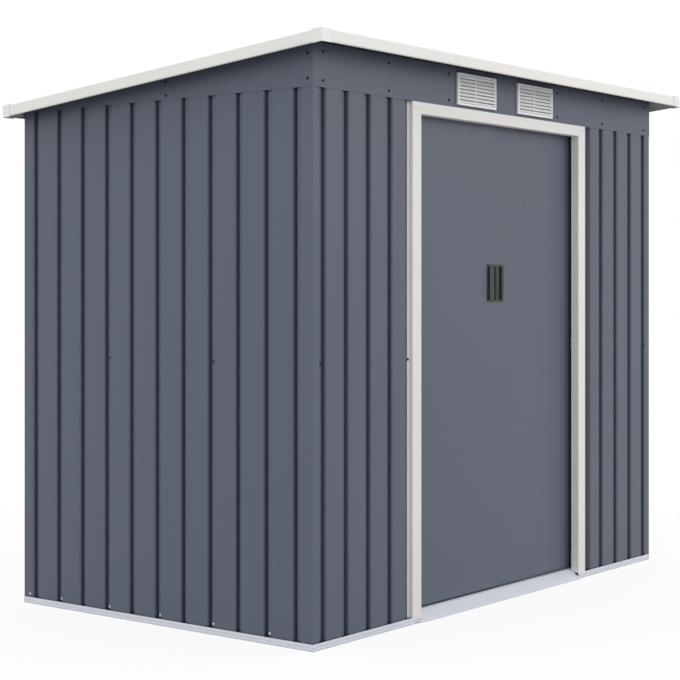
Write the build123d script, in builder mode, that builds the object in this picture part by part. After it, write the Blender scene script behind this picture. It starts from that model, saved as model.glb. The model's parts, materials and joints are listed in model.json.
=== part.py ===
from build123d import *
from math import atan2, cos, sin, tan
import os

# A small lean-to metal garden shed: ribbed steel walls on a base frame, a plain
# fascia band with two louvred vents, a sheet roof that falls to the back, and a
# pair of doors that slide apart behind the front walls.
# Millimetres. X runs along the front, Y goes from front to back and Z is up. The
# origin is on the ground below the middle of the roof's outline.

# Walls
wall_width = 1984.0
wall_depth = 1184.0
wall_top = 1572.0
sheet = 1.0

# Grooves rolled into the wall and roof sheets, each with a long gentle flank, a
# narrow floor and a short steep flank, set out from the groove's middle
groove_pitch = 107.0
groove_lip = 18.0
groove_knee = 5.5
groove_knee_depth = 8.7
groove_floor_near = 7.0
groove_floor_far = 12.0
groove_depth = 15.0
groove_rise = 14.5
groove_rise_depth = 3.0
groove_far_lip = 19.5
groove_bend = 3.0
roof_groove_depth = 9.0
front_groove_pitch = 104.8
left_groove_inset = 118.5
right_groove_inset = 112.0
side_groove_count = 11
back_groove_count = 18

# Step at the front sheets' edges, which lets the door posts' flanges lie in front
step_width = 36.8
step_flank = 6.0
step_depth = 12.5

# Base frame
rail_height = 20.0
rail_sheet = 1.2
rail_line_height = 10.0
rail_line_face = 1.6
rail_line_depth = 0.6

# Bracing inside the walls
mid_rail_height = 792.0
mid_rail_face = 40.0
mid_rail_depth = 12.0
top_rail_depth = 14.0
brace_gap = 4.0
door_gap = 12.0

# Fascia, gables and vents
wall_lap = 7.0
fascia_height = 125.2
fascia_joint = 661.0
gable_joint = 554.5
vent_width = 218.0
vent_margin_below = 9.0
vent_margin_above = 16.2
vent_offset = 175.2
vent_border = 6.0
vent_depth = 8.0
vent_edge = 1.5
vent_blades = 8
vent_blade_sheet = 1.4
vent_blade_face = 10.6
vent_blade_tilt = 50.0
vent_mullion = 5.0
vent_mullion_depth = 2.5

# Door frame
doorway_width = 942.0
header_face = 36.0
post_face = 45.5
post_flange = 12.0
post_sheet = 1.2
jamb_depth = 28.0
frame_bend = 2.0

# Doors
leaf_plane = 36.0
leaf_thickness = 15.0
leaf_sheet = 1.0
leaf_lap = 17.0
leaf_foot_gap = 6.0
leaf_head_cover = 13.0
seam_gap = 5.2
seam_lap = 10.0
tongue_sheet = 2.0
tongue_height = 18.0
track_sheet = 2.0
track_top_height = 24.0
track_bottom_height = 32.0

# Handles
handle_width = 45.0
handle_height = 120.0
handle_base = 2.0
handle_centre_height = 1021.0
handle_margin = 5.0
handle_ridge = 14.0
handle_ridge_depth = 8.0
handle_ridge_inset = 3.0
handle_rib = 4.0
handle_rib_depth = 5.0
handle_bend = 1.2

# Threshold
sill_front = 9.0
sill_lip = 3.0
sill_rise = 31.0
sill_sheet = 1.5
sill_ear = 37.0
sill_nose_inset = 4.0

# Roof
roof_side_overhang = 72.0
roof_front_overhang = 86.0
roof_back_overhang = 21.0
roof_clearance = 0.8
roof_panel_count = 3
trim_face = 35.0
trim_sheet = 1.2
trim_bend = 2.2
trim_cover = 26.0
trim_lip = 6.0
front_trim_joint = 848.0
cap_front_leg = 44.0
cap_side_leg = 33.0
cap_sheet = 1.2
cap_drop = 2.0
cap_edge = 2.0
beam_face = 40.0
beam_depth = 25.0

# Places that follow from the sizes above
roof_width = wall_width + 2 * roof_side_overhang
roof_depth = roof_front_overhang + wall_depth + roof_back_overhang
x_wall = wall_width / 2
x_eave = roof_width / 2
x_jamb = doorway_width / 2
x_post = x_jamb + post_face
fascia_foot = wall_top - wall_lap
doorway_head = fascia_foot - header_face
slope = atan2(fascia_height - wall_lap - roof_clearance, wall_depth)
y_eave_front = -(roof_depth - (trim_face + cap_drop - cap_sheet) * sin(slope)) / 2
y_front = y_eave_front + roof_front_overhang
y_back = y_front + wall_depth
roof_run = roof_depth / cos(slope)
roof_underside = trim_sheet + sheet + roof_groove_depth
roof_front_height = (fascia_foot + fascia_height + roof_underside / cos(slope)
                     + roof_front_overhang * tan(slope))
brace_plane = groove_depth + sheet
rail_foot = leaf_plane - track_sheet

# Wall planes: local X runs along the wall, local Y goes into the shed and Z is up.
front_plane = Plane(origin=(0, y_front, 0), x_dir=(1, 0, 0), z_dir=(0, 0, 1))
back_plane = Plane(origin=(0, y_back, 0), x_dir=(-1, 0, 0), z_dir=(0, 0, 1))
left_plane = Plane(origin=(-x_wall, (y_front + y_back) / 2, 0), x_dir=(0, -1, 0), z_dir=(0, 0, 1))
right_plane = Plane(origin=(x_wall, (y_front + y_back) / 2, 0), x_dir=(0, 1, 0), z_dir=(0, 0, 1))

# Roof planes: the first lies on the roof, the second is its front end, with local
# Y down into the shed, and the third is a section across the front edge.
roof_origin = (0, y_eave_front, roof_front_height)
roof_plane = Plane(origin=roof_origin, x_dir=(1, 0, 0), z_dir=(0, sin(slope), cos(slope)))
roof_end = Plane(origin=roof_origin, x_dir=(1, 0, 0), z_dir=(0, cos(slope), -sin(slope)))
roof_section = Plane(origin=roof_origin, x_dir=(0, cos(slope), -sin(slope)), z_dir=(1, 0, 0))

os.makedirs("parts", exist_ok=True)
FRONT = (Align.CENTER, Align.MIN)


def save(builder, name):
    """Label a finished piece and write it under its own name."""
    builder.part.label = name
    export_step(builder.part, f"parts/{name}.step")


def raised(plane, height):
    """Give the same plane, moved along its normal."""
    return plane.offset(height)


def roof_height(y, depth=0.0):
    """Give the height of the roof at y, at a depth below its top face."""
    return roof_front_height - (y - y_eave_front) * tan(slope) - depth / cos(slope)


def groove_places(count, middle=0.0):
    """Give the middles of evenly spaced grooves about a middle."""
    return [middle + (i - (count - 1) / 2) * groove_pitch for i in range(count)]


def groove_bends(middles, turn, depth):
    """Give the places where a sheet bends, its steep flanks to the right for turn 1."""
    section = (
        (-groove_lip, 0),
        (groove_knee, groove_knee_depth),
        (groove_floor_near, groove_depth),
        (groove_floor_far, groove_depth),
        (groove_rise, groove_rise_depth),
        (groove_far_lip, 0),
    )
    return [(m + turn * x, y * depth / groove_depth) for m in middles for x, y in section[::turn]]


def ribbed_sheet(plane, start, end, grooves, turn, length, depth=groove_depth, step=0):
    """Roll a sheet along local X with its grooves and, at one edge, a step for a post's flange."""
    near = [m for m in grooves if start - groove_pitch < m < end + groove_pitch]
    bends = groove_bends(near, turn, depth)
    if step < 0:
        bends = [(start + step_width - step_flank, step_depth), (start + step_width, 0)] + bends
    if step > 0:
        bends += [(end - step_width, 0), (end - step_width + step_flank, step_depth)]
    first = (min(start, bends[0][0]) - groove_pitch, bends[0][1])
    last = (max(end, bends[-1][0]) + groove_pitch, bends[-1][1])
    outline = [last, *bends[::-1], first]
    lips = [groove_bend if y == 0 else 0 for _, y in bends[::-1]]
    with BuildPart() as panel:
        with BuildSketch(plane):
            with BuildLine():
                FilletPolyline(*outline, radius=lips)
                offset(amount=sheet, side=Side.RIGHT, kind=Kind.INTERSECTION)
            make_face()
            with Locations(((start + end) / 2, 0)):
                Rectangle(end - start, 4 * groove_depth, mode=Mode.INTERSECT)
        extrude(amount=length)
    return panel


def folded_strip(plane, points, thickness, bend, length):
    """Fold a strip whose left face follows the points, and extrude it along the plane's normal."""
    with BuildPart() as strip:
        with BuildSketch(plane):
            with BuildLine():
                FilletPolyline(*points, radius=bend)
                offset(amount=thickness, side=Side.RIGHT, kind=Kind.INTERSECTION)
            make_face()
        extrude(amount=length)
    return strip


def mirrored(builder, plane):
    """Give the mirror image of a finished piece."""
    with BuildPart() as image:
        add(builder.part)
        mirror(about=plane, mode=Mode.REPLACE)
    return image


def mitred_rail(plane, start, end, mitre_start, mitre_end):
    """Lay one base rail along local X: a foot on the ground and a lip with a rolled line."""
    inner_start = start + (rail_foot + rail_sheet if mitre_start else 0)
    inner_end = end - (rail_foot + rail_sheet if mitre_end else 0)
    lip_start = start + (rail_sheet if mitre_start else 0)
    lip_end = end - (rail_sheet if mitre_end else 0)
    with BuildPart() as rail:
        with BuildSketch(plane):
            Polygon((start, -rail_sheet), (end, -rail_sheet), (inner_end, rail_foot),
                    (inner_start, rail_foot), align=None)
        extrude(amount=rail_sheet)
        with BuildSketch(plane):
            Polygon((start, -rail_sheet), (end, -rail_sheet), (lip_end, 0), (lip_start, 0), align=None)
        extrude(amount=rail_height)
        with BuildSketch(raised(plane, rail_line_height)):
            Polygon((start, -rail_sheet), (end, -rail_sheet), (lip_end, rail_line_depth - rail_sheet),
                    (lip_start, rail_line_depth - rail_sheet), align=None)
        extrude(amount=rail_line_face, mode=Mode.SUBTRACT)
    return rail


# Base frame: five rails round the foot of the walls, open at the doorway
for name, plane, start, end, mitres in (
    ("base_rail_front_left", front_plane, -x_wall - rail_sheet, -x_jamb, (True, False)),
    ("base_rail_front_right", front_plane, x_jamb, x_wall + rail_sheet, (False, True)),
    ("base_rail_left", left_plane, -wall_depth / 2 - rail_sheet, wall_depth / 2 + rail_sheet, (True, True)),
    ("base_rail_right", right_plane, -wall_depth / 2 - rail_sheet, wall_depth / 2 + rail_sheet, (True, True)),
    ("base_rail_back", back_plane, -x_wall - rail_sheet, x_wall + rail_sheet, (True, True)),
):
    save(mitred_rail(plane, start, end, *mitres), name)

# Wall sheets: they stand on the feet of the base rails
wall_length = wall_top - rail_sheet
post_grooves = int((x_wall - x_post - left_groove_inset) / front_groove_pitch) + 1
left_grooves = [-x_post - left_groove_inset - i * front_groove_pitch for i in reversed(range(post_grooves))]
right_grooves = [x_post + right_groove_inset + i * front_groove_pitch for i in range(post_grooves)]
side_grooves = groove_places(side_groove_count)
back_grooves = groove_places(back_groove_count)
foot_front = raised(front_plane, rail_sheet)
foot_back = raised(back_plane, rail_sheet)
foot_left = raised(left_plane, rail_sheet)
foot_right = raised(right_plane, rail_sheet)
inner_half = x_wall - sheet
half_depth = wall_depth / 2
post_edge = x_post + post_sheet
sheet_left = ribbed_sheet(foot_front, -inner_half, -post_edge, left_grooves, 1, wall_length, step=1)
save(sheet_left, "front_wall_left")
sheet_right = ribbed_sheet(foot_front, post_edge, inner_half, right_grooves, 1, wall_length, step=-1)
save(sheet_right, "front_wall_right")

# The side sheets meet in the floor of the middle groove
side_joint = (groove_floor_near + groove_floor_far) / 2
for plane, turn, where in ((foot_left, -1, "left"), (foot_right, 1, "right")):
    joint = turn * side_joint
    near_start, near_end = sorted((joint, -turn * half_depth))
    far_start, far_end = sorted((joint, turn * half_depth))
    save(ribbed_sheet(plane, near_start, near_end, side_grooves, turn, wall_length), f"{where}_wall_front")
    save(ribbed_sheet(plane, far_start, far_end, side_grooves, turn, wall_length), f"{where}_wall_back")
back_third = back_groove_count // 3
back_joint = back_grooves[back_third] - groove_pitch / 2
for start, end, where in (
    (-inner_half, back_joint, "right"),
    (back_joint, -back_joint, "middle"),
    (-back_joint, inner_half, "left"),
):
    save(ribbed_sheet(foot_back, start, end, back_grooves, 1, wall_length), f"back_wall_{where}")

# Bracing: hat rails at half height and angle rails along the tops of the walls
mid_foot = mid_rail_height - mid_rail_face / 2
top_foot = doorway_head + post_sheet
top_rail_height = wall_top - top_foot
brace_end = brace_plane + brace_gap
side_front_end = half_depth - leaf_plane - leaf_thickness - door_gap
mid_runs = (
    (front_plane, -x_wall + brace_end, -x_post + post_flange),
    (front_plane, x_post - post_flange, x_wall - brace_end),
    (left_plane, -half_depth + brace_end, side_front_end),
    (right_plane, -side_front_end, half_depth - brace_end),
    (back_plane, -x_wall + 2 * brace_end + mid_rail_depth, x_wall - 2 * brace_end - mid_rail_depth),
)
with BuildPart() as mid_rails:
    for plane, start, end in mid_runs:
        with BuildSketch(raised(plane, mid_foot)):
            with Locations(((start + end) / 2, brace_plane)):
                Rectangle(end - start, mid_rail_depth, align=FRONT)
        extrude(amount=mid_rail_face)
        with BuildSketch(raised(plane, mid_foot + rail_sheet)):
            with Locations(((start + end) / 2, brace_plane)):
                Rectangle(end - start, mid_rail_depth - rail_sheet, align=FRONT)
        extrude(amount=mid_rail_face - 2 * rail_sheet, mode=Mode.SUBTRACT)
save(mid_rails, "mid_rails")

top_runs = (
    (front_plane, -x_wall + brace_end, x_wall - brace_end),
    (left_plane, -half_depth + brace_end, side_front_end),
    (right_plane, -side_front_end, half_depth - brace_end),
    (back_plane, -x_wall + 2 * brace_end + top_rail_depth, x_wall - 2 * brace_end - top_rail_depth),
)
with BuildPart() as top_rails:
    for plane, start, end in top_runs:
        with BuildSketch(raised(plane, top_foot)):
            with Locations(((start + end) / 2, brace_plane)):
                Rectangle(end - start, top_rail_depth, align=FRONT)
        extrude(amount=rail_sheet)
        with BuildSketch(raised(plane, top_foot)):
            with Locations(((start + end) / 2, brace_plane)):
                Rectangle(end - start, rail_sheet, align=FRONT)
        extrude(amount=top_rail_height)
save(top_rails, "top_rails")

# Door frame: folded posts on the base rails, and a folded header that lies on the
# posts' jambs and fills the corners between their faces
header_lap = frame_bend + post_sheet
post_plane = raised(front_plane, rail_height)
post_points = (
    (-x_post - post_flange, step_depth),
    (-x_post, step_depth),
    (-x_post, 0),
    (-x_jamb - post_sheet, 0),
    (-x_jamb - post_sheet, jamb_depth),
)
post = folded_strip(post_plane, post_points, post_sheet, frame_bend, fascia_foot - rail_height)
with BuildPart() as notched_post:
    add(post.part)
    with BuildSketch(raised(front_plane, doorway_head)):
        with Locations((-x_jamb, 0)):
            Rectangle(2 * header_lap, 4 * jamb_depth)
    extrude(amount=2 * header_face, mode=Mode.SUBTRACT)
save(notched_post, "door_post_left")
save(mirrored(notched_post, Plane.YZ), "door_post_right")
header_plane = Plane(origin=(-x_jamb - header_lap, y_front, 0), x_dir=(0, 1, 0), z_dir=(1, 0, 0))
header_points = ((0, fascia_foot), (0, top_foot), (jamb_depth, top_foot))
header_length = doorway_width + 2 * header_lap
save(folded_strip(header_plane, header_points, post_sheet, frame_bend, header_length), "door_header")

# Tracks: channels that run behind the front walls, with room round the tongues
track_mouth = leaf_thickness
track_outer = track_mouth + 2 * track_sheet
track_middle = leaf_plane + leaf_thickness / 2
track_length = wall_width - 2 * rail_foot
with BuildPart() as track_bottom:
    with BuildSketch(front_plane):
        with Locations((0, track_middle)):
            Rectangle(track_length, track_outer)
    extrude(amount=track_bottom_height)
    with BuildSketch(raised(front_plane, track_sheet)):
        with Locations((0, track_middle)):
            Rectangle(track_length, track_mouth)
    extrude(amount=track_bottom_height, mode=Mode.SUBTRACT)
save(track_bottom, "door_track_bottom")
with BuildPart() as track_upper:
    with BuildSketch(raised(front_plane, wall_top)):
        with Locations((0, track_middle)):
            Rectangle(track_length, track_outer)
    extrude(amount=-track_top_height)
    with BuildSketch(raised(front_plane, wall_top - track_sheet)):
        with Locations((0, track_middle)):
            Rectangle(track_length, track_mouth)
    extrude(amount=-track_top_height, mode=Mode.SUBTRACT)
    with BuildSketch(raised(front_plane, wall_top - track_sheet)):
        with Locations((0, (brace_plane + rail_sheet + track_middle) / 2)):
            Rectangle(track_length, track_middle - brace_plane - rail_sheet)
    extrude(amount=track_sheet)
save(track_upper, "door_track_top")

# Door leaves: shallow folded trays with a tongue above and below. The left leaf's
# sheet runs on over the edge of the right leaf, which stands a little further in.
leaf_foot = track_bottom_height + leaf_foot_gap
leaf_head = doorway_head + leaf_head_cover
leaf_length = leaf_head - leaf_foot
leaf_edge = x_jamb + leaf_lap
leaf_start = raised(front_plane, leaf_foot)
back_leaf_plane = leaf_plane + leaf_sheet + seam_gap


def door_leaf(start, end, face):
    """Fold one leaf between two places along the front, with its face that far in."""
    middle = (start + end) / 2
    depth = leaf_plane + leaf_thickness - face
    tongue_start = max(start, -x_jamb)
    tongue_end = min(end, x_jamb)
    with BuildPart() as leaf:
        with BuildSketch(leaf_start):
            with Locations((middle, face)):
                Rectangle(end - start, depth, align=FRONT)
        extrude(amount=leaf_length)
        with BuildSketch(raised(leaf_start, leaf_sheet)):
            with Locations((middle, face + leaf_sheet)):
                Rectangle(end - start - 2 * leaf_sheet, depth, align=FRONT)
        extrude(amount=leaf_length - 2 * leaf_sheet, mode=Mode.SUBTRACT)
        for height in (leaf_foot - tongue_height, leaf_head - leaf_sheet):
            with BuildSketch(raised(front_plane, height)):
                with Locations(((tongue_start + tongue_end) / 2, track_middle)):
                    Rectangle(tongue_end - tongue_start, tongue_sheet)
            extrude(amount=tongue_height + leaf_sheet)
    return leaf


seam_return = seam_lap + seam_gap
with BuildPart() as left_leaf:
    add(door_leaf(-leaf_edge, -seam_return, leaf_plane).part)
    with BuildSketch(leaf_start):
        with Locations((-seam_return / 2, leaf_plane)):
            Rectangle(seam_return, leaf_sheet, align=FRONT)
    extrude(amount=leaf_length)
save(left_leaf, "door_leaf_left")
save(door_leaf(-seam_lap, leaf_edge, back_leaf_plane), "door_leaf_right")

# Handles: a base plate on each leaf with a broad upright grip and a low rib
handle_foot = handle_centre_height - handle_height / 2
ridge_offset = seam_gap + handle_width - handle_ridge_inset - handle_ridge / 2
rib_offset = seam_gap + handle_rib / 2
for side, face, name in ((-1, leaf_plane, "door_handle_left"), (1, back_leaf_plane, "door_handle_right")):
    with BuildPart() as handle:
        with BuildSketch(raised(front_plane, handle_foot)):
            with Locations((side * (seam_gap + handle_width / 2), face - handle_base)):
                Rectangle(handle_width, handle_base, align=FRONT)
        extrude(amount=handle_height)
        for place, width, depth in (
            (ridge_offset, handle_ridge, handle_ridge_depth),
            (rib_offset, handle_rib, handle_rib_depth),
        ):
            with BuildSketch(raised(front_plane, handle_foot + handle_margin)) as grip:
                with Locations((side * place, face - depth)):
                    Rectangle(width, depth, align=FRONT)
                fillet(grip.vertices().group_by(Axis.Y)[0], radius=handle_bend)
            extrude(amount=handle_height - 2 * handle_margin)
    save(handle, name)

# Threshold: a folded ramp between the posts, with ears in front of the rails
sill_nose = x_jamb - sill_nose_inset
sill_plane = Plane(origin=(-x_jamb - sill_ear, y_front, 0), x_dir=(0, 1, 0), z_dir=(1, 0, 0))
sill_points = ((-sill_front, 0), (-sill_front, sill_lip), (rail_foot, sill_rise), (rail_foot, 0))
with BuildPart() as sill:
    add(folded_strip(sill_plane, sill_points, sill_sheet, frame_bend, doorway_width + 2 * sill_ear).part)
    with BuildSketch(front_plane):
        Polygon((-sill_nose, -sill_front), (sill_nose, -sill_front),
                (x_jamb + sill_ear, -rail_sheet), (x_jamb, -rail_sheet), (x_jamb, leaf_plane),
                (-x_jamb, leaf_plane), (-x_jamb, -rail_sheet), (-x_jamb - sill_ear, -rail_sheet), align=None)
    extrude(amount=2 * sill_rise, mode=Mode.INTERSECT)
save(sill, "door_sill")

# Fascia: three plain sheets over the front, each overlapping the walls below
front_face = Plane(origin=(0, y_front, 0), x_dir=(1, 0, 0), z_dir=(0, -1, 0))
joint_x = -x_wall + fascia_joint
vent_height = fascia_height - vent_margin_below - vent_margin_above
vent_middle = fascia_foot + vent_margin_below + vent_height / 2
vent_places = [(-vent_offset, vent_middle), (vent_offset, vent_middle)]
for name, start, end in (
    ("fascia_left", -x_wall, joint_x),
    ("fascia_middle", joint_x, -joint_x),
    ("fascia_right", -joint_x, x_wall),
):
    with BuildPart() as fascia:
        with BuildSketch(front_face):
            with Locations(((start + end) / 2, fascia_foot)):
                Rectangle(end - start, fascia_height, align=FRONT)
        extrude(amount=sheet)
        with BuildSketch(front_face):
            with Locations(vent_places):
                Rectangle(vent_width - 2 * vent_border, vent_height - 2 * vent_border)
        extrude(amount=sheet, mode=Mode.SUBTRACT)
    save(fascia, name)

# Gables: plain sheets that follow the roof on each side
gable_split = y_front + gable_joint
gable_gap = trim_sheet + sheet
for side, where in ((-1, "left"), (1, "right")):
    gable_plane = Plane(origin=(side * x_wall, 0, 0), x_dir=(0, 1, 0), z_dir=(1, 0, 0))
    for part_name, start, end in (("front", y_front - sheet, gable_split), ("back", gable_split, y_back)):
        with BuildPart() as gable:
            with BuildSketch(gable_plane):
                Polygon((start, fascia_foot), (end, fascia_foot), (end, roof_height(end, gable_gap)),
                        (start, roof_height(start, gable_gap)), align=None)
            extrude(amount=side * sheet)
        save(gable, f"gable_{where}_{part_name}")

# Vents: a bordered plate with tilted blades and an upright in the middle
vent_opening_height = vent_height - 2 * vent_border
blade_pitch = vent_opening_height / vent_blades
for place, name in zip(vent_places, ("vent_left", "vent_right")):
    with BuildPart() as vent:
        with BuildSketch(raised(front_face, sheet)):
            with Locations(place):
                Rectangle(vent_width, vent_height)
                Rectangle(vent_width - 2 * vent_border, vent_opening_height, mode=Mode.SUBTRACT)
        extrude(amount=vent_depth)
        fillet(vent.faces().sort_by(Axis.Y)[0].outer_wire().edges(), radius=vent_edge)
        with BuildSketch(raised(front_face, sheet)):
            with Locations(place):
                Rectangle(vent_mullion, vent_height - vent_border)
        extrude(amount=vent_mullion_depth)
        blade_middle = Plane(origin=(place[0], y_front - sheet - vent_depth / 2, place[1]),
                             x_dir=(0, 1, 0), z_dir=(1, 0, 0))
        with BuildSketch(raised(blade_middle, -vent_width / 2 + vent_border / 2)):
            with GridLocations(0, blade_pitch, 1, vent_blades):
                Rectangle(vent_blade_face, vent_blade_sheet, rotation=vent_blade_tilt)
        extrude(amount=vent_width - vent_border)
    save(vent, name)

# Roof sheets: grooves run down the slope, and the sheets meet between grooves
roof_inset = trim_sheet + trim_bend
roof_half = x_eave - roof_inset
roof_joint = 2 * roof_half / roof_panel_count
roof_grooves = groove_places(int(2 * roof_half / groove_pitch))
roof_sheet_plane = Plane(origin=roof_end.from_local_coords((0, trim_sheet, roof_inset)), x_dir=(1, 0, 0),
                         z_dir=(0, cos(slope), -sin(slope)))
for i in range(roof_panel_count):
    start = -roof_half + i * roof_joint
    panel = ribbed_sheet(roof_sheet_plane, start, start + roof_joint, roof_grooves, 1,
                         roof_run - 2 * roof_inset, depth=roof_groove_depth)
    save(panel, f"roof_sheet_{i + 1}")

# Roof trims: a face, a flange over the sheets and a lip folded in below
inner_foot = trim_face - trim_sheet
trim_points = (
    (trim_cover, -trim_sheet),
    (trim_sheet, -trim_sheet),
    (trim_sheet, -inner_foot),
    (trim_lip, -inner_foot),
)
roof_middle = raised(roof_end, roof_run / 2)
for name, start, end in (
    ("left", -x_eave, -x_eave + front_trim_joint),
    ("right", -x_eave + front_trim_joint, x_eave),
):
    trim = folded_strip(raised(roof_section, start), trim_points, trim_sheet, trim_bend, end - start)
    save(trim, f"roof_trim_front_{name}")
back_trim = folded_strip(raised(roof_section, -x_eave), trim_points, trim_sheet, trim_bend, roof_width)
save(mirrored(back_trim, roof_middle), "roof_trim_back")
side_points = [(-x_eave + u, -v) for u, v in reversed(trim_points)]
side_length = roof_run - 2 * trim_cover
side_trim = folded_strip(raised(roof_end, trim_cover), side_points, trim_sheet, trim_bend, side_length)
save(side_trim, "roof_trim_left")
save(mirrored(side_trim, Plane.YZ), "roof_trim_right")

# Roof corner caps: a cover plate with two legs that wrap the trims
cap_height = trim_face + cap_drop + cap_sheet
with BuildPart() as cap:
    with BuildSketch(raised(roof_plane, cap_sheet)) as cap_outline:
        with Locations((-x_eave - cap_sheet, -cap_sheet)):
            Rectangle(cap_front_leg, cap_side_leg, align=(Align.MIN, Align.MIN))
        fillet(cap_outline.vertices().sort_by_distance((-x_eave, 0))[0], radius=cap_edge)
    extrude(amount=-cap_height)
    with BuildSketch(roof_plane):
        with Locations((-x_eave, 0)):
            Rectangle(cap_front_leg, cap_side_leg, align=(Align.MIN, Align.MIN))
    extrude(amount=-cap_height, mode=Mode.SUBTRACT)
with BuildPart() as caps:
    add(cap.part)
    mirror(about=Plane.YZ)
    mirror(about=roof_middle)
save(caps, "roof_corner_caps")

# Roof beam: a channel under the sheets, between the gables at their joint
beam_middle = (roof_front_overhang + gable_joint) / cos(slope)
with BuildPart() as beam:
    with BuildSketch(raised(roof_section, -x_wall)):
        with Locations((beam_middle, -roof_underside - beam_face / 2)):
            Rectangle(beam_depth, beam_face)
            with Locations((rail_sheet, 0)):
                Rectangle(beam_depth, beam_face - 2 * rail_sheet, mode=Mode.SUBTRACT)
    extrude(amount=wall_width)
save(beam, "roof_beam")
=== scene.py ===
"""Dress a lean-to metal garden shed: painted steel sheet, folded trims, screws and a studio.

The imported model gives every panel, rail and door leaf. This script gives them their
finishes, adds the screws and the backs of the vents, and sets up the camera, the lamps
and the floor. Lengths are in metres unless a name ends in _mm.
"""

from __future__ import annotations

import json
import logging
import math
from dataclasses import dataclass, field
from enum import Enum

import bmesh
import bpy
from mathutils import Matrix, Vector

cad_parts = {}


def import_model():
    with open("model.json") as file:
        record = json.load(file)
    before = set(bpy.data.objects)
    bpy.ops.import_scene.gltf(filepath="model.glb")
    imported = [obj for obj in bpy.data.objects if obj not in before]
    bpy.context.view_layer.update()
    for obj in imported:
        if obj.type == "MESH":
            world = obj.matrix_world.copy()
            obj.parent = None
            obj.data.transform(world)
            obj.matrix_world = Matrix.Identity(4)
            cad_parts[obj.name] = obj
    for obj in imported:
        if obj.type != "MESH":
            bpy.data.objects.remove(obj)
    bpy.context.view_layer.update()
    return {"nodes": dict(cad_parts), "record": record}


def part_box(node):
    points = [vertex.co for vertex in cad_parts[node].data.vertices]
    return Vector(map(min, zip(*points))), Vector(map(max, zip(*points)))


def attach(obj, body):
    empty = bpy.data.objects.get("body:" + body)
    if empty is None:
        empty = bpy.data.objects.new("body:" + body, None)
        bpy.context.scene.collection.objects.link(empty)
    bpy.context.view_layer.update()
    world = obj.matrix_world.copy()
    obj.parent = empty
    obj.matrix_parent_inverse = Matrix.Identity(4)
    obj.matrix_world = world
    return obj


LOG = logging.getLogger("shed")
MM = 0.001
# A box is its lowest and its highest corner, and a corner is its X, Y and Z.
LOW, HIGH = 0, 1
X, Y, Z = 0, 1, 2
# A Mix node's colour sockets by number, because it has several sockets of each name.
MIX_FIRST, MIX_SECOND, MIX_RESULT = 6, 7, 2
# The rays that the painted crease shade node or the edge rounding node sends out for each sample, enough
# for an even shade.
NODE_RAYS = 8

Socket = bpy.types.NodeSocket
Tree = bpy.types.NodeTree
Element = bmesh.types.BMVert | bmesh.types.BMEdge | bmesh.types.BMFace
Point = tuple[float, float, float]


class Slot(Enum):
    """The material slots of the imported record."""

    SLATE = "slate_paint"
    OFF_WHITE = "off_white_paint"
    ZINC = "galvanised"
    PLASTIC = "black_plastic"


class Body(Enum):
    """The bodies that pieces ride on."""

    SHED = "shed"
    LEFT_DOOR = "left_door"
    RIGHT_DOOR = "right_door"


class Side(Enum):
    """The four walls, each with the way it faces and the way its grooves deepen."""

    FRONT = ((0.0, -1.0, 0.0), (1.0, 0.0, 0.0))
    BACK = ((0.0, 1.0, 0.0), (-1.0, 0.0, 0.0))
    LEFT = ((-1.0, 0.0, 0.0), (0.0, 1.0, 0.0))
    RIGHT = ((1.0, 0.0, 0.0), (0.0, 1.0, 0.0))

    @property
    def out(self) -> Vector:
        """The direction that the wall faces."""
        return Vector(self.value[0])

    @property
    def along(self) -> Vector:
        """The direction along the wall in which a groove's long flank deepens."""
        return Vector(self.value[1])

    @property
    def lengthwise(self) -> bool:
        """Whether the wall runs along X, as the front and back walls do."""
        return self in (Side.FRONT, Side.BACK)


def linear(hex_colour: str) -> tuple[float, float, float, float]:
    """Turn an sRGB hex colour into linear RGBA.

    The sRGB curve is straight for the darkest tones and a power of 2.4 above them.

    Args:
        hex_colour: six hex digits, such as "5b616c".

    Returns:
        The linear colour with an alpha of 1.
    """
    channels = [int(hex_colour[i : i + 2], 16) / 255 for i in (0, 2, 4)]
    return (*(c / 12.92 if c <= 0.04045 else ((c + 0.055) / 1.055) ** 2.4 for c in channels), 1.0)


def add_node(
    tree: Tree,
    kind: str,
    settings: dict[str | int, object] | None = None,
    links: dict[str | int, Socket] | None = None,
) -> bpy.types.Node:
    """Add one node, set its properties and inputs, and link its inputs.

    Args:
        tree: the node tree that the node joins.
        kind: the node's type, such as "ShaderNodeBump".
        settings: property or input names, or input numbers, with their values.
        links: input names or numbers with the output sockets that feed them.

    Returns:
        The new node.
    """
    node = tree.nodes.new(kind)
    for key, value in (settings or {}).items():
        if isinstance(key, str) and hasattr(node, key):
            setattr(node, key, value)
        else:
            node.inputs[key].default_value = value
    for key, socket in (links or {}).items():
        tree.links.new(socket, node.inputs[key])
    return node


def new_material(name: str) -> tuple[bpy.types.Material, Tree]:
    """Start an empty node material.

    Args:
        name: the material's name.

    Returns:
        The material and its node tree.
    """
    material = bpy.data.materials.new(name)
    material.use_nodes = True
    material.node_tree.nodes.clear()
    return material, material.node_tree


def verts_in(geometry: list[Element]) -> list[bmesh.types.BMVert]:
    """Pick the vertices out of what an operator made."""
    return [element for element in geometry if isinstance(element, bmesh.types.BMVert)]


def add_piece(
    name: str, shape: bmesh.types.BMesh, material: bpy.types.Material, body: Body
) -> None:
    """Turn a finished shape into a piece that rides on a body.

    Args:
        name: the piece's name.
        shape: its shape in place, which is freed.
        material: its material.
        body: the body that it rides on.
    """
    mesh = bpy.data.meshes.new(name)
    shape.to_mesh(mesh)
    shape.free()
    mesh.materials.append(material)
    piece = bpy.data.objects.new(name, mesh)
    bpy.context.scene.collection.objects.link(piece)
    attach(piece, body.value)


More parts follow.
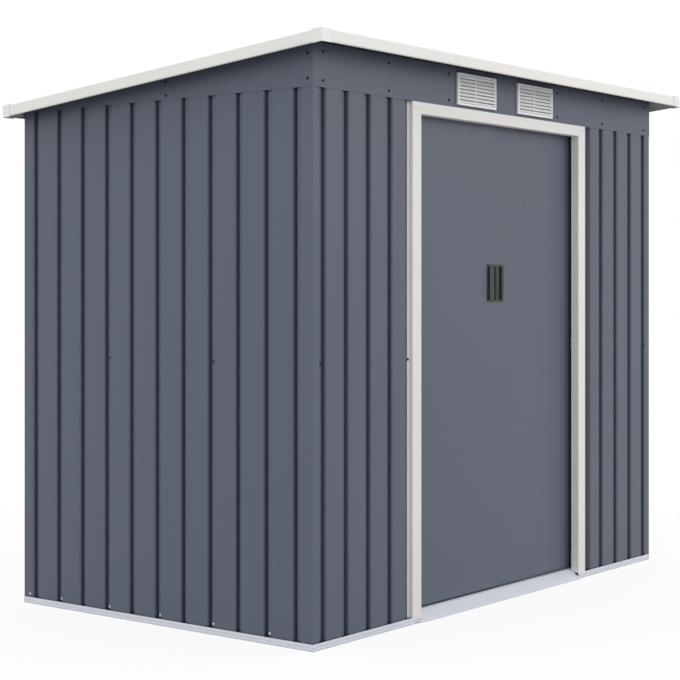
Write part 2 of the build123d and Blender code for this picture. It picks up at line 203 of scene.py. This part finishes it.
@dataclass(frozen=True)
class Relief:
    """One layer of fine relief: noise of a real size and depth."""

    size_mm: float
    depth_mm: float
    detail: float

    def lay(self, tree: Tree, place: Socket, under: dict[str, Socket]) -> dict[str, Socket]:
        """Lay the relief over the layer below it.

        Args:
            tree: the material's node tree.
            place: the socket with object coordinates.
            under: the link to the normal of the layer below, if there is one.

        Returns:
            The link to the normal with this layer.
        """
        settings = {"Scale": 1 / (self.size_mm * MM), "Detail": self.detail}
        height = add_node(tree, "ShaderNodeTexNoise", settings, {"Vector": place}).outputs["Fac"]
        depth = {"Strength": 1.0, "Distance": self.depth_mm * MM}
        bump = add_node(tree, "ShaderNodeBump", depth, {"Height": height, **under})
        return {"Normal": bump.outputs["Normal"]}


# Thin sheet is never quite flat, and its broad waves bend the light that it reflects.
SHEET_WAVES = Relief(size_mm=160.0, depth_mm=0.25, detail=1.0)
# The ripple of a baked coat, which softens the sheen.
ORANGE_PEEL = Relief(size_mm=3.0, depth_mm=0.02, detail=2.0)
# The grain of a spark-eroded mould, drawn coarser than the real one, which is too fine to show.
MOULD_GRAIN = Relief(size_mm=0.8, depth_mm=0.01, detail=2.0)


@dataclass(frozen=True)
class Finish:
    """A surface with one base colour and a sheen, and with painted shade in each crease.

    The painted shade starts where the open share of the surroundings within crease_mm falls
    below crease_open. Its factor reaches crease_darkest where nothing is open, and a
    value below 0 makes the shade black before that.
    """

    name: str
    colour: str
    roughness: float = 0.5
    specular: float = 0.5
    metallic: float = 0.0
    crease_mm: float = 8.0
    crease_darkest: float = 0.5
    crease_open: float = 1.0
    reliefs: tuple[Relief, ...] = ()

    def painted_crease_shade(self, tree: Tree) -> Socket:
        """Give the factor of the painted shade in each crease.

        Args:
            tree: the material's node tree.

        Returns:
            The socket with the factor, which is 1 in the open.
        """
        # Ambient occlusion darkens the colour in each crease: this darkening is painted shade.
        reach = {"samples": NODE_RAYS, "Distance": self.crease_mm * MM}
        open_share = add_node(tree, "ShaderNodeAmbientOcclusion", reach).outputs["AO"]
        span = {"From Max": self.crease_open, "To Min": self.crease_darkest, "To Max": 1.0}
        return add_node(tree, "ShaderNodeMapRange", span, {"Value": open_share}).outputs["Result"]

    def factors(self, tree: Tree, place: Socket) -> list[Socket]:
        """Give the factors that the colour is multiplied by.

        Args:
            tree: the material's node tree.
            place: the socket with object coordinates, not used by this plain finish.

        Returns:
            The sockets with the factors.
        """
        return [self.painted_crease_shade(tree)]

    def edges(self, tree: Tree) -> dict[str, Socket]:
        """Give the link to the normal that the reliefs lie on, or none for edges as modelled."""
        return {}

    def build(self) -> bpy.types.Material:
        """Build the material.

        Returns:
            The material.
        """
        material, tree = new_material(self.name)
        place = add_node(tree, "ShaderNodeTexCoord").outputs["Object"]
        value, *others = self.factors(tree, place)
        for factor in others:
            pair = {0: value, 1: factor}
            value = add_node(tree, "ShaderNodeMath", {"operation": "MULTIPLY"}, pair).outputs[0]
        tint = add_node(tree, "ShaderNodeHueSaturation", {"Color": linear(self.colour)}, {"Value": value})
        normal = self.edges(tree)
        for relief in self.reliefs:
            normal = relief.lay(tree, place, normal)
        sheen = {
            "Roughness": self.roughness,
            "Specular IOR Level": self.specular,
            "Metallic": self.metallic,
        }
        links = {"Base Color": tint.outputs["Color"], **normal}
        shader = add_node(tree, "ShaderNodeBsdfPrincipled", sheen, links)
        add_node(tree, "ShaderNodeOutputMaterial", None, {"Surface": shader.outputs["BSDF"]})
        return material


@dataclass(frozen=True)
class CoatedSteel(Finish):
    """Thin steel sheet with a baked satin coat.

    The coat gives a soft broad sheen with a faint orange peel and slow clouding, and
    the thin sheet shows a gentle waviness under it. Painted shade darkens each crease, and
    a painted shadow line lies along the wall just above the base rail.
    """

    roughness: float = 0.45
    specular: float = 0.4
    crease_mm: float = 14.0
    crease_darkest: float = 0.3
    reliefs: tuple[Relief, ...] = (SHEET_WAVES, ORANGE_PEEL)
    cloud_mm: float = 500.0
    cloud_detail: float = 3.0
    cloud_share: float = 0.04
    rail_shadow_foot_mm: float = 20.0
    rail_shadow_top_mm: float = 27.0
    rail_shadow_darkest: float = 1.0

    def factors(self, tree: Tree, place: Socket) -> list[Socket]:
        """Give the clouding, the painted shade in each crease and the painted shadow line above the base
        rail.

        Args:
            tree: the material's node tree.
            place: the socket with object coordinates.

        Returns:
            The sockets with the factors.
        """
        grain = {"Scale": 1 / (self.cloud_mm * MM), "Detail": self.cloud_detail}
        clouds = add_node(tree, "ShaderNodeTexNoise", grain, {"Vector": place}).outputs["Fac"]
        share = {"To Min": 1 - self.cloud_share, "To Max": 1 + self.cloud_share}
        clouding = add_node(tree, "ShaderNodeMapRange", share, {"Value": clouds}).outputs["Result"]
        # A band of the wall just above the base rail is darkened by height: a painted shadow line where
        # the rail meets the wall.
        height = add_node(tree, "ShaderNodeSeparateXYZ", None, {0: place}).outputs["Z"]
        span = {
            "interpolation_type": "SMOOTHSTEP",
            "From Min": self.rail_shadow_foot_mm * MM,
            "From Max": self.rail_shadow_top_mm * MM,
            "To Min": self.rail_shadow_darkest,
            "To Max": 1.0,
        }
        rail_shadow = add_node(tree, "ShaderNodeMapRange", span, {"Value": height}).outputs["Result"]
        return [clouding, self.painted_crease_shade(tree), rail_shadow]


@dataclass(frozen=True)
class ZincCoatedSteel(Finish):
    """Hot-dip galvanised steel, left bare.

    The zinc gives a pale, slightly blue metal with soft cloudy spangle, with painted
    shade in the rolled line and where it meets the ground.
    """

    roughness: float = 0.42
    metallic: float = 0.15
    crease_mm: float = 6.0
    crease_darkest: float = 0.3
    spangle_mm: float = 9.0
    spangle_share: float = 0.05

    def factors(self, tree: Tree, place: Socket) -> list[Socket]:
        """Give the spangle and the painted shade in each crease.

        Args:
            tree: the material's node tree.
            place: the socket with object coordinates.

        Returns:
            The sockets with the factors.
        """
        size = {"Scale": 1 / (self.spangle_mm * MM)}
        cells = add_node(tree, "ShaderNodeTexVoronoi", size, {"Vector": place}).outputs["Distance"]
        share = {"To Min": 1 - self.spangle_share, "To Max": 1 + self.spangle_share}
        spangle = add_node(tree, "ShaderNodeMapRange", share, {"Value": cells}).outputs["Result"]
        return [spangle, self.painted_crease_shade(tree)]


@dataclass(frozen=True)
class MouldedPlastic(Finish):
    """Injection-moulded ABS with a fine spark-eroded texture.

    Its rounded edges catch a thin highlight, and the texture breaks the gloss into a
    soft sheen.
    """

    roughness: float = 0.3
    reliefs: tuple[Relief, ...] = (MOULD_GRAIN,)
    edge_mm: float = 2.5

    def edges(self, tree: Tree) -> dict[str, Socket]:
        """Give the link to a normal that is rounded over the edges."""
        rounding = {"samples": NODE_RAYS, "Radius": self.edge_mm * MM}
        return {"Normal": add_node(tree, "ShaderNodeBevel", rounding).outputs["Normal"]}


SLATE_GREY = "545c6b"
# Baked polyester paint on ribbed sheet: a satin blue-grey, with painted shade in the grooves
# and a painted shadow line along the foot of the walls above the base rail.
SLATE = CoatedSteel("slate_coated_steel", SLATE_GREY, rail_shadow_darkest=0.5)
# The same sheet close under the roof's overhang, with a broad soft painted shade at its top.
SLATE_PAINTED_SHADE_BAND = CoatedSteel(
    "slate_coated_steel_band", SLATE_GREY, crease_mm=38.0, crease_darkest=-1.2, crease_open=0.82
)
# Baked polyester paint on folded strip: a warm satin white with faint painted shade lines in its folds.
OFF_WHITE = CoatedSteel("off_white_coated_steel", "e6e5e1", crease_mm=5.0, crease_darkest=0.7)
# Hot-dip zinc: a pale, dull and slightly blue metal with painted shade lines at its folds.
ZINC = ZincCoatedSteel("galvanised_steel", "dadde6")
# Moulded handles: a near black with a thin grey highlight along each rounded edge.
BLACK = MouldedPlastic("black_moulded_abs", "1d2021")
# Moulded screw caps: small black dots, too dull for a highlight.
SCREW_CAP = MouldedPlastic(
    "black_moulded_screw_caps", "0b0e13", roughness=0.6, specular=0.15, edge_mm=0.4
)
# Moulded vents: a clean white, a little glossier than the painted trims.
WHITE = MouldedPlastic(
    "white_moulded_abs", "fafbfb", edge_mm=0.8, crease_mm=2.0, crease_darkest=0.9
)
# Moulded corner caps: a cooler white than the painted trims that they join.
CAP_WHITE = MouldedPlastic("white_moulded_abs_caps", "e4e7e6", edge_mm=2.0)
# The moulded back of a vent: a mid grey that paints the shade in the gaps between the blades.
VENT_BACK_PAINTED_SHADE = MouldedPlastic(
    "grey_moulded_screen", "9a9ea0", edge_mm=0.1, crease_mm=2.0, crease_darkest=0.9
)
FINISHES = {Slot.SLATE: SLATE, Slot.OFF_WHITE: OFF_WHITE, Slot.ZINC: ZINC, Slot.PLASTIC: BLACK}


@dataclass
class Materials:
    """Each finish, built once when it is first asked for."""

    built: dict[str, bpy.types.Material] = field(default_factory=dict)

    def of(self, finish: Finish) -> bpy.types.Material:
        """Give the material of a finish.

        Args:
            finish: the finish.

        Returns:
            Its material, the same one each time.
        """
        if finish.name not in self.built:
            self.built[finish.name] = finish.build()
        return self.built[finish.name]


@dataclass
class Shell:
    """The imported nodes, each given the finish of its record slot or of its own kind."""

    record: dict
    special: tuple[tuple[str, Finish], ...] = (
        ("vent_", WHITE),
        ("roof_corner_caps", CAP_WHITE),
        # The fascia and the gables take the copy of the slate finish with painted shade under the
        # overhang.
        ("fascia_", SLATE_PAINTED_SHADE_BAND),
        ("gable_", SLATE_PAINTED_SHADE_BAND),
    )

    def dress(self, nodes: dict[str, bpy.types.Object], materials: Materials) -> None:
        """Give every node its finish.

        Args:
            nodes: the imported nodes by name.
            materials: the built finishes.
        """
        for entry in self.record["subparts"]:
            node = nodes[entry["node"]]
            finish = FINISHES[Slot(entry["material_slot"])]
            for start, own_finish in self.special:
                finish = own_finish if node.name.startswith(start) else finish
            node.data.materials.clear()
            node.data.materials.append(materials.of(finish))
            LOG.info("dressed %s in %s", node.name, finish.name)


@dataclass(frozen=True)
class Seat:
    """Where one screw sits, and the direction its head faces."""

    place: Vector
    facing: Vector


@dataclass(frozen=True)
class Walls:
    """The planes of the four walls and the section of their grooves.

    A groove's long flank starts at flank_start_mm from the groove's middle and falls by
    flank_depth_mm over flank_length_mm. Its screws stand at screw_place_mm.
    """

    planes: dict[Side, float]
    flank_depth_mm: float = 8.7
    flank_length_mm: float = 23.5
    flank_start_mm: float = -18.0
    screw_place_mm: float = -5.0

    @classmethod
    def read(cls) -> Walls:
        """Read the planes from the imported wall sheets.

        Returns:
            The walls.
        """
        return cls(
            {
                Side.FRONT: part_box("front_wall_left")[LOW][Y],
                Side.BACK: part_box("back_wall_middle")[HIGH][Y],
                Side.LEFT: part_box("left_wall_front")[LOW][X],
                Side.RIGHT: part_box("right_wall_front")[HIGH][X],
            }
        )

    def span(self, side: Side) -> tuple[float, float]:
        """Give the ends of a wall, as two X on the front and back walls, and two Y on the side walls."""
        first, last = (Side.LEFT, Side.RIGHT) if side.lengthwise else (Side.FRONT, Side.BACK)
        return self.planes[first], self.planes[last]

    def face_seat(self, side: Side, along: float, height: float, proud_mm: float = 0.0) -> Seat:
        """Seat a screw square to a wall.

        Args:
            side: the wall.
            along: its X on the front and back walls, and its Y on the side walls.
            height: its height above the ground.
            proud_mm: how far its seat stands in front of the wall's face, or behind if negative.

        Returns:
            The seat.
        """
        plane = self.planes[side] + (side.out.x + side.out.y) * proud_mm * MM
        place = (along, plane, height) if side.lengthwise else (plane, along, height)
        return Seat(Vector(place), side.out)

    def flank_seat(self, side: Side, middle: float, height: float) -> Seat:
        """Seat a screw on the long flank of a groove.

        Args:
            side: the wall.
            middle: the groove's middle, as X on the front and back walls, and Y on the side walls.
            height: its height above the ground.

        Returns:
            The seat, square to the flank.
        """
        slope = self.flank_depth_mm / self.flank_length_mm
        depth_mm = (self.screw_place_mm - self.flank_start_mm) * slope
        face = self.face_seat(side, middle, height, -depth_mm)
        tilt = math.atan(slope)
        facing = side.out * math.cos(tilt) + side.along * math.sin(tilt)
        return Seat(face.place + side.along * self.screw_place_mm * MM, facing)


@dataclass(frozen=True)
class ScrewHead:
    """A domed screw head with a cross recess in its flat crown.

    The crown is a share of the radius, and the cross a share of the crown. The cross is
    the cells of a grid whose middles lie within on_axis_mm of an axis. Each ring of the
    dome below is a share of the radius and a share of the height, and the last one lies
    in the sheet.
    """

    radius_mm: float
    height_mm: float
    recess_mm: float = 1.1
    sides: int = 12
    crown: float = 0.66
    cross: float = 0.7
    cross_cells: int = 3
    on_axis_mm: float = 0.1
    rings: tuple[tuple[float, float], ...] = ((0.88, 0.86), (0.98, 0.5), (1.0, -0.1))

    def is_corner(self, face: bmesh.types.BMFace) -> bool:
        """Tell whether a cell of the crown's grid lies off both arms of the cross."""
        middle = face.calc_center_median()
        return min(abs(middle.x), abs(middle.y)) > self.on_axis_mm * MM

    def recess(self, shape: bmesh.types.BMesh, crown: float) -> None:
        """Make the crown within its rim, and sink the cross into it.

        Args:
            shape: the head so far, which is the crown's rim.
            crown: the crown's radius.
        """
        rim = shape.edges[:]
        cells = self.cross_cells
        bmesh.ops.create_grid(shape, x_segments=cells, y_segments=cells, size=crown * self.cross)
        corners = [face for face in shape.faces if self.is_corner(face)]
        bmesh.ops.delete(shape, geom=corners, context="FACES")
        arms = shape.faces[:]
        outline = [edge for edge in shape.edges if edge.is_boundary]
        bmesh.ops.bridge_loops(shape, edges=rim + outline)
        sunk = bmesh.ops.extrude_face_region(shape, geom=arms)["geom"]
        bmesh.ops.translate(shape, vec=(0, 0, -self.recess_mm * MM), verts=verts_in(sunk))

    def mesh(self) -> bpy.types.Mesh:
        """Model the head on its seat at the origin, facing +Z.

        Returns:
            The head's mesh.
        """
        shape = bmesh.new()
        crown, height = self.radius_mm * MM * self.crown, self.height_mm * MM
        bmesh.ops.create_circle(shape, segments=self.sides, radius=crown)
        rim = shape.edges[:]
        self.recess(shape, crown)
        inner, level = self.crown, 1.0
        for outer, next_level in self.rings:
            grown = bmesh.ops.extrude_edge_only(shape, edges=rim)["geom"]
            verts = verts_in(grown)
            rim = [element for element in grown if isinstance(element, bmesh.types.BMEdge)]
            bmesh.ops.scale(shape, vec=(outer / inner, outer / inner, 1.0), verts=verts)
            bmesh.ops.translate(shape, vec=(0, 0, (next_level - level) * height), verts=verts)
            inner, level = outer, next_level
        bmesh.ops.contextual_create(shape, geom=rim)
        bmesh.ops.translate(shape, vec=(0, 0, height), verts=shape.verts[:])
        bmesh.ops.recalc_face_normals(shape, faces=shape.faces[:])
        mesh = bpy.data.meshes.new("screw_head")
        shape.to_mesh(mesh)
        shape.free()
        return mesh


# The capped screws of the walls, the bright ones of the base rails, and the small ones of the
# door frame and the leaves.
CAP_HEAD = ScrewHead(radius_mm=3.9, height_mm=2.0)
FOOT_HEAD = ScrewHead(radius_mm=4.6, height_mm=2.8)
FRAME_HEAD = ScrewHead(radius_mm=2.6, height_mm=1.0, recess_mm=0.7)
LEAF_HEAD = ScrewHead(radius_mm=3.0, height_mm=1.2, recess_mm=0.8)


@dataclass
class ScrewSet:
    """Screws of one kind on one body, made as one piece."""

    name: str
    head: ScrewHead
    finish: Finish
    slot: Slot
    seats: list[Seat]
    body: Body = Body.SHED

    def build(self, materials: Materials) -> None:
        """Model every head on its seat and make the piece ride on its body.

        Args:
            materials: the built finishes.
        """
        head = self.head.mesh()
        shape = bmesh.new()
        for seat in self.seats:
            before = len(shape.verts)
            shape.from_mesh(head)
            turn = seat.facing.to_track_quat("Z", "Y").to_matrix().to_4x4()
            to_seat = Matrix.Translation(seat.place) @ turn
            bmesh.ops.transform(shape, matrix=to_seat, verts=shape.verts[before:])
        bpy.data.meshes.remove(head)
        add_piece(self.name, shape, materials.of(self.finish), self.body)
        LOG.info("%s: %d screws", self.name, len(self.seats))


@dataclass
class WallFixings:
    """Screws through the walls and the band above them into the frame.

    Places along the front are measured from the left wall, and places along the gables
    from the front wall. Grooves are counted from the middle of their wall.
    """

    walls: Walls
    band_mm: tuple[float, ...] = (43.6, 354.3, 666.3, 1318.0, 1630.0, 1939.6)
    band_heights: tuple[float, ...] = (1.584, 1.665)
    gable_corner_mm: float = 18.0
    gable_corner_heights: tuple[float, ...] = (1.587, 1.657)
    gable_joint_mm: float = 559.8
    gable_joint_heights: tuple[float, ...] = (1.577, 1.617)
    band_proud_mm: float = 1.0
    groove_pitch_mm: float = 107.0
    rail_height: float = 0.7925
    side_rail_grooves: tuple[int, ...] = (-2, 2)
    back_rail_grooves: tuple[float, ...] = (-6.5, -2.5, 2.5, 6.5)
    front_groove_mm: float = 42.6
    flange_mm: float = 466.5
    flange_depth_mm: float = 11.3
    foot_height: float = 0.0307
    side_foot_grooves: tuple[int, ...] = (-4, -2, 0, 2, 4)
    back_foot_grooves: tuple[float, ...] = (-7.5, -5.5, -3.5, -1.5, 1.5, 3.5, 5.5, 7.5)
    foot_corner_mm: float = 28.0
    frame_mm: tuple[float, ...] = (490.0, 512.0)
    frame_height: float = 1.548
    frame_proud_mm: float = 1.2

    def from_left(self, distance_mm: float) -> float:
        """Give the X of a place measured from the left wall."""
        return self.walls.planes[Side.LEFT] + distance_mm * MM

    def from_front(self, distance_mm: float) -> float:
        """Give the Y of a place measured from the front wall."""
        return self.walls.planes[Side.FRONT] + distance_mm * MM

    def grooves(self, side: Side, steps: tuple[float, ...], height: float) -> list[Seat]:
        """Seat screws in the grooves of a side wall or the back wall.

        Args:
            side: the wall.
            steps: the grooves, counted from the wall's middle.
            height: the screws' height above the ground.

        Returns:
            The seats.
        """
        middle = sum(self.walls.span(side)) / 2
        pitch = self.groove_pitch_mm * MM
        return [self.walls.flank_seat(side, middle + step * pitch, height) for step in steps]

    def band(self) -> list[Seat]:
        """Seat the screws of the band over the front and of the gables.

        Returns:
            The seats.
        """
        front = [(Side.FRONT, self.from_left(x), z) for x in self.band_mm for z in self.band_heights]
        corner = [(self.from_front(self.gable_corner_mm), z) for z in self.gable_corner_heights]
        joint = [(self.from_front(self.gable_joint_mm), z) for z in self.gable_joint_heights]
        gables = [(side, y, z) for side in (Side.LEFT, Side.RIGHT) for y, z in corner + joint]
        proud_mm = self.band_proud_mm
        return [self.walls.face_seat(side, along, z, proud_mm) for side, along, z in front + gables]

    def rails(self) -> list[Seat]:
        """Seat the screws into the rails at half height, and those of the posts' flanges.

        Returns:
            The seats.
        """
        seats = self.grooves(Side.BACK, self.back_rail_grooves, self.rail_height)
        for side in (Side.LEFT, Side.RIGHT):
            seats += self.grooves(side, self.side_rail_grooves, self.rail_height)
        corner = self.from_left(self.front_groove_mm)
        seats.append(self.walls.flank_seat(Side.FRONT, corner, self.rail_height))
        seats.append(self.walls.face_seat(Side.FRONT, -corner, self.rail_height))
        flange = self.from_left(self.flange_mm)
        for x in (flange, -flange):
            seats.append(self.walls.face_seat(Side.FRONT, x, self.rail_height, -self.flange_depth_mm))
        return seats

    def feet(self) -> list[Seat]:
        """Seat the bright screws into the base rails.

        Returns:
            The seats.
        """
        seats = self.grooves(Side.BACK, self.back_foot_grooves, self.foot_height)
        corner = self.walls.planes[Side.BACK] - self.foot_corner_mm * MM
        for side in (Side.LEFT, Side.RIGHT):
            seats += self.grooves(side, self.side_foot_grooves, self.foot_height)
            seats.append(self.walls.face_seat(side, corner, self.foot_height))
        return seats

    def door_frame(self) -> list[Seat]:
        """Seat the small screws at the tops of the door posts.

        Returns:
            The seats.
        """
        places = [self.from_left(distance) for distance in self.frame_mm]
        return [
            self.walls.face_seat(Side.FRONT, x, self.frame_height, self.frame_proud_mm)
            for place in places
            for x in (place, -place)
        ]

    def build(self, materials: Materials) -> None:
        """Make the pieces of the shed's own screws.

        Args:
            materials: the built finishes.
        """
        sets = (
            ScrewSet("wall_screw_caps", CAP_HEAD, SCREW_CAP, Slot.PLASTIC, self.band() + self.rails()),
            ScrewSet("base_rail_screws", FOOT_HEAD, ZINC, Slot.ZINC, self.feet()),
            ScrewSet("door_frame_screws", FRAME_HEAD, OFF_WHITE, Slot.OFF_WHITE, self.door_frame()),
        )
        for screws in sets:
            screws.build(materials)


@dataclass
class LeafFixings:
    """Screws through the door leaves into the stiffeners behind them.

    Each column of screws is its distance from the doorway's middle and its heights.
    """

    walls: Walls
    columns: tuple[tuple[float, tuple[float, ...]], ...] = (
        (0.1845, (0.305, 1.286)),
        (0.33, (0.536, 1.054)),
    )
    leaves: tuple[tuple[int, Body, str], ...] = (
        (-1, Body.LEFT_DOOR, "door_leaf_left"),
        (1, Body.RIGHT_DOOR, "door_leaf_right"),
    )

    def build(self, materials: Materials) -> None:
        """Make one piece of screws for each leaf.

        Args:
            materials: the built finishes.
        """
        for sign, body, node in self.leaves:
            proud_mm = (self.walls.planes[Side.FRONT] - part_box(node)[LOW][Y]) / MM
            seats = [
                self.walls.face_seat(Side.FRONT, sign * x, z, proud_mm)
                for x, heights in self.columns
                for z in heights
            ]
            name = f"{body.value}_screws"
            ScrewSet(name, LEAF_HEAD, SLATE, Slot.SLATE, seats, body).build(materials)


@dataclass
class VentScreens:
    """The moulded back of each vent, which closes the gaps between its blades."""

    thickness_mm: float = 0.6
    border_mm: float = 6.2
    front_gap_mm: float = 9.1

    def build(self, materials: Materials) -> None:
        """Make one screen behind the blades of each vent.

        Args:
            materials: the built finishes.
        """
        borders = 2 * self.border_mm * MM
        thickness = self.thickness_mm * MM
        for side in ("left", "right"):
            low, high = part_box(f"vent_{side}")
            size = (high[X] - low[X] - borders, thickness, high[Z] - low[Z] - borders)
            depth = (self.front_gap_mm + self.thickness_mm / 2) * MM
            middle = ((low[X] + high[X]) / 2, low[Y] + depth, (low[Z] + high[Z]) / 2)
            shape = bmesh.new()
            bmesh.ops.create_cube(shape, size=1.0)
            bmesh.ops.scale(shape, vec=size, verts=shape.verts[:])
            bmesh.ops.translate(shape, vec=middle, verts=shape.verts[:])
            add_piece(f"vent_screen_{side}", shape, materials.of(VENT_BACK_PAINTED_SHADE), Body.SHED)
            LOG.info("vent_screen_%s behind the blades", side)


@dataclass(frozen=True)
class Lamp:
    """One square soft lamp that faces the shed, with its side in metres and its power in watts."""

    name: str
    place: Point
    size: float
    power: float

    def build(self, target: Vector) -> None:
        """Hang the lamp.

        Args:
            target: the point that it faces.
        """
        data = bpy.data.lights.new(self.name, "AREA")
        data.size = self.size
        data.energy = self.power
        lamp = bpy.data.objects.new(self.name, data)
        lamp.location = self.place
        lamp.rotation_euler = (target - Vector(self.place)).to_track_quat("-Z", "Y").to_euler()
        bpy.context.scene.collection.objects.link(lamp)


@dataclass
class Studio:
    """The photograph's camera, a pale floor and soft lamps in a pale world."""

    walls: Walls
    lens_mm: float = 88.11
    sensor_mm: float = 36.0
    heading: float = math.radians(52.093)
    eye: Point = (-4.574, -3.4421, 1.0134)
    shift_y: float = -0.0802
    floor_size: float = 60.0
    glow_share: float = 0.85
    floor_seen: str = "f4f4f4"
    floor_bounce: str = "b0b0b0"
    sky: str = "ffffff"
    sky_strength: float = 1.1
    aim: Point = (0.0, 0.0, 0.9)
    lamps: tuple[Lamp, ...] = (
        Lamp("right_lamp", (3.5, -6.0, 3.5), size=3.0, power=70.0),
        Lamp("left_lamp", (-6.5, 0.5, 3.5), size=3.0, power=35.0),
    )

    def camera(self) -> None:
        """Place the camera level at the photograph's viewpoint."""
        data = bpy.data.cameras.new("photo_camera")
        data.lens = self.lens_mm
        data.sensor_width = self.sensor_mm
        data.shift_y = self.shift_y
        camera = bpy.data.objects.new("photo_camera", data)
        camera.location = self.eye
        camera.rotation_euler = (math.pi / 2, 0, -self.heading)
        bpy.context.scene.collection.objects.link(camera)
        bpy.context.scene.camera = camera

    def seen(self, tree: Tree) -> Socket:
        """Give 1 where the camera or a reflection looks straight at a surface, and else 0.

        Args:
            tree: the node tree of the surface or the world.

        Returns:
            The socket with the mask.
        """
        path = add_node(tree, "ShaderNodeLightPath").outputs
        rays = {0: path["Is Camera Ray"], 1: path["Is Glossy Ray"]}
        return add_node(tree, "ShaderNodeMath", {"operation": "MAXIMUM"}, rays).outputs[0]

    def outdoors(self, tree: Tree) -> Socket:
        """Give 1 on the floor round the shed, and 0 on the ground within its walls.

        Args:
            tree: the floor's node tree.

        Returns:
            The socket with the mask.
        """
        spans = (self.walls.span(Side.FRONT), self.walls.span(Side.LEFT))
        middle = (*((low + high) / 2 for low, high in spans), 0)
        half = (*((high - low) / 2 for low, high in spans), 1)
        place = add_node(tree, "ShaderNodeTexCoord").outputs["Object"]
        shift = {"operation": "SUBTRACT", 1: middle}
        offset = add_node(tree, "ShaderNodeVectorMath", shift, {0: place}).outputs[0]
        ratio = {"operation": "DIVIDE", 1: half}
        share = add_node(tree, "ShaderNodeVectorMath", ratio, {0: offset}).outputs[0]
        size = add_node(tree, "ShaderNodeVectorMath", {"operation": "ABSOLUTE"}, {0: share}).outputs[0]
        axes = add_node(tree, "ShaderNodeSeparateXYZ", None, {0: size}).outputs
        pair = {0: axes["X"], 1: axes["Y"]}
        widest = add_node(tree, "ShaderNodeMath", {"operation": "MAXIMUM"}, pair).outputs[0]
        past_wall = {"operation": "GREATER_THAN", 1: 1.0}
        return add_node(tree, "ShaderNodeMath", past_wall, {0: widest}).outputs[0]

    def paper(self) -> bpy.types.Material:
        """Make the floor's material: pale and glowing where it is seen, darker for other light.

        Returns:
            The material.
        """
        material, tree = new_material("studio_floor")
        seen = self.seen(tree)
        tones = {
            "data_type": "RGBA",
            MIX_FIRST: linear(self.floor_bounce),
            MIX_SECOND: linear(self.floor_seen),
        }
        tone = add_node(tree, "ShaderNodeMix", tones, {0: seen}).outputs[MIX_RESULT]
        strength = {"operation": "MULTIPLY", 1: self.glow_share}
        glowing = add_node(tree, "ShaderNodeMath", strength, {0: seen}).outputs[0]
        pair = {0: glowing, 1: self.outdoors(tree)}
        share = add_node(tree, "ShaderNodeMath", {"operation": "MULTIPLY"}, pair).outputs[0]
        matt = add_node(tree, "ShaderNodeBsdfDiffuse", None, {"Color": tone})
        glow = add_node(tree, "ShaderNodeEmission", {"Strength": 1.0})
        layers = {0: share, 1: matt.outputs[0], 2: glow.outputs[0]}
        mix = add_node(tree, "ShaderNodeMixShader", None, layers)
        add_node(tree, "ShaderNodeOutputMaterial", None, {"Surface": mix.outputs[0]})
        return material

    def floor(self) -> None:
        """Lay a plain floor that keeps a faint shadow."""
        shape = bmesh.new()
        bmesh.ops.create_grid(shape, x_segments=1, y_segments=1, size=self.floor_size / 2)
        mesh = bpy.data.meshes.new("floor")
        shape.to_mesh(mesh)
        shape.free()
        mesh.materials.append(self.paper())
        floor = bpy.data.objects.new("floor", mesh)
        bpy.context.scene.collection.objects.link(floor)

    def light(self) -> None:
        """Hang the lamps and make the world pale, and white where it is seen."""
        for lamp in self.lamps:
            lamp.build(Vector(self.aim))
        world = bpy.data.worlds.new("studio")
        world.use_nodes = True
        tree = world.node_tree
        tree.nodes.clear()
        colour = {"Color": linear(self.sky)}
        light = add_node(tree, "ShaderNodeBackground", {**colour, "Strength": self.sky_strength})
        white = add_node(tree, "ShaderNodeBackground", {**colour, "Strength": 1.0})
        layers = {0: self.seen(tree), 1: light.outputs[0], 2: white.outputs[0]}
        mix = add_node(tree, "ShaderNodeMixShader", None, layers)
        add_node(tree, "ShaderNodeOutputWorld", None, {"Surface": mix.outputs[0]})
        bpy.context.scene.world = world
        bpy.context.scene.view_settings.view_transform = "Standard"

    def build(self) -> None:
        """Set up the whole studio."""
        self.camera()
        self.floor()
        self.light()
        LOG.info("studio: camera, floor and lamps")


def main() -> None:
    """Build the dressed shed and its studio."""
    logging.basicConfig(level=logging.INFO, format="%(name)s: %(message)s")
    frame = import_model()
    materials = Materials()
    walls = Walls.read()
    Shell(frame["record"]).dress(frame["nodes"], materials)
    WallFixings(walls).build(materials)
    LeafFixings(walls).build(materials)
    VentScreens().build(materials)
    Studio(walls).build()


if __name__ == "__main__":
    main()
